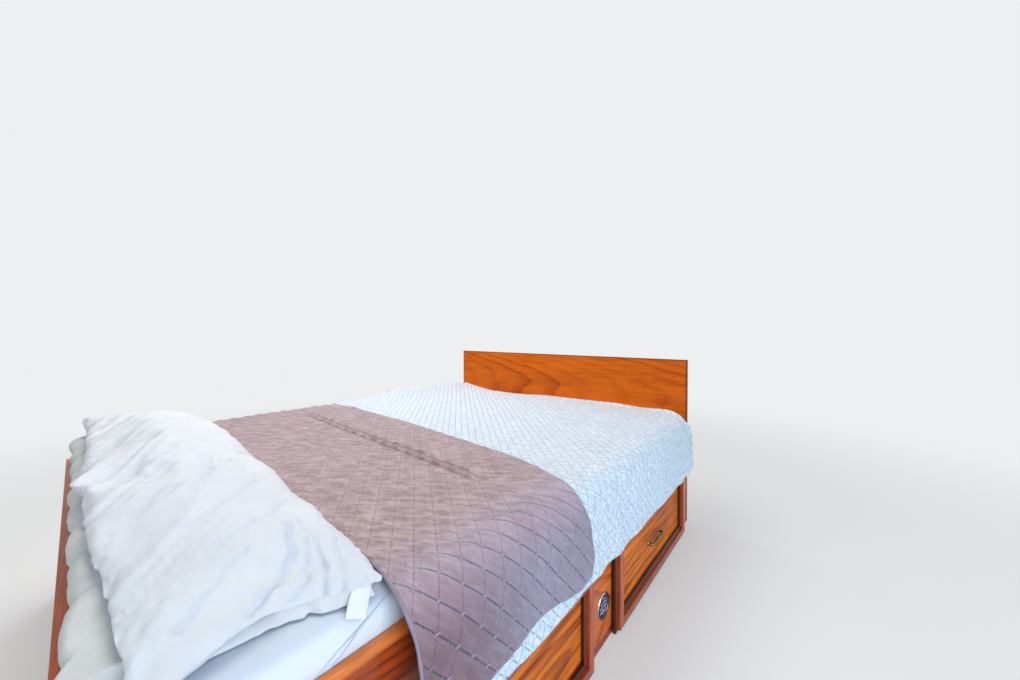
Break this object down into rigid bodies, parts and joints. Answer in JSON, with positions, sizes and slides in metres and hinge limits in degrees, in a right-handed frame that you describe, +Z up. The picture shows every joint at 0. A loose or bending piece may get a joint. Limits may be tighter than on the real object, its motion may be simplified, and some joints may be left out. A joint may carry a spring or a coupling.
{
  "type": "built-in wagon bed with two drawers",
  "caption": "Built-in double bed of a living wagon: stained wood face frame with moulded drawers that slide out, tall foot panel, slats, mattress, quilted covers and a folded duvet.",
  "frame": {"origin": "on the floor, under the middle of the whole bed with its bedding", "axes": "+X from the wall behind the bed to the drawer fronts, +Y from the head to the foot panel, +Z up"},
  "size_m": [1.66, 1.97, 0.8],
  "materials": {
    "face_wood": "stained and satin lacquered",
    "foot_veneer": "stained veneer, satin lacquer",
    "drawer_moulding": "stained and gloss lacquered",
    "drawer_panel": "stained veneer, satin lacquer",
    "drawer_box_wood": "pale sealed plywood",
    "carcass_wood": "pale sealed plywood",
    "slat_wood": "planed pine",
    "brass": "polished",
    "vent_rim": "gloss",
    "vent_dark": "gloss",
    "sheet": "smooth cotton",
    "coverlet": "fine quilted cotton",
    "throw": "diamond quilted, slight sheen",
    "duvet": "soft cotton",
    "label": "woven satin tape"
  },
  "bodies": {
    "bed": {"face_bottom_rail": "face_wood", "face_head_stile": "face_wood", "face_foot_stile": "face_wood", "face_top_rail": "face_wood", "face_vent_board": "face_wood", "head_board_low": "face_wood", "foot_panel": "foot_veneer", "wall_board": "carcass_wood", "bay_back_board": "carcass_wood", "front_ledger": "slat_wood", "back_ledger": "slat_wood", "near_bay_head_side": "carcass_wood", "near_bay_foot_side": "carcass_wood", "far_bay_head_side": "carcass_wood", "far_bay_foot_side": "carcass_wood", "near_bay_runners": "slat_wood", "far_bay_runners": "slat_wood", "bed_slats": "slat_wood", "vent_ring": "vent_rim", "vent_insert": "vent_dark", "mattress": "sheet", "coverlet": "coverlet", "throw": "throw", "duvet_fold": "duvet", "duvet": "duvet", "care_label": "label"},
    "near_drawer": {"near_drawer_frame_bottom": "drawer_moulding", "near_drawer_frame_foot": "drawer_moulding", "near_drawer_frame_top": "drawer_moulding", "near_drawer_frame_head": "drawer_moulding", "near_drawer_panel": "drawer_panel", "near_drawer_box_front": "drawer_box_wood", "near_drawer_box_back": "drawer_box_wood", "near_drawer_head_side": "drawer_box_wood", "near_drawer_foot_side": "drawer_box_wood", "near_drawer_bottom": "drawer_box_wood", "near_drawer_rails": "drawer_box_wood", "near_drawer_handle": "brass"},
    "far_drawer": {"far_drawer_frame_bottom": "drawer_moulding", "far_drawer_frame_foot": "drawer_moulding", "far_drawer_frame_top": "drawer_moulding", "far_drawer_frame_head": "drawer_moulding", "far_drawer_panel": "drawer_panel", "far_drawer_box_front": "drawer_box_wood", "far_drawer_box_back": "drawer_box_wood", "far_drawer_head_side": "drawer_box_wood", "far_drawer_foot_side": "drawer_box_wood", "far_drawer_bottom": "drawer_box_wood", "far_drawer_rails": "drawer_box_wood", "far_drawer_handle": "brass"}
  },
  "joints": [
    {"name": "near_drawer_slide", "type": "slide", "parent": "bed", "child": "near_drawer", "axis": [1, 0, 0], "range_m": [0, 0.45]},
    {"name": "far_drawer_slide", "type": "slide", "parent": "bed", "child": "far_drawer", "axis": [1, 0, 0], "range_m": [0, 0.45]}
  ]
}
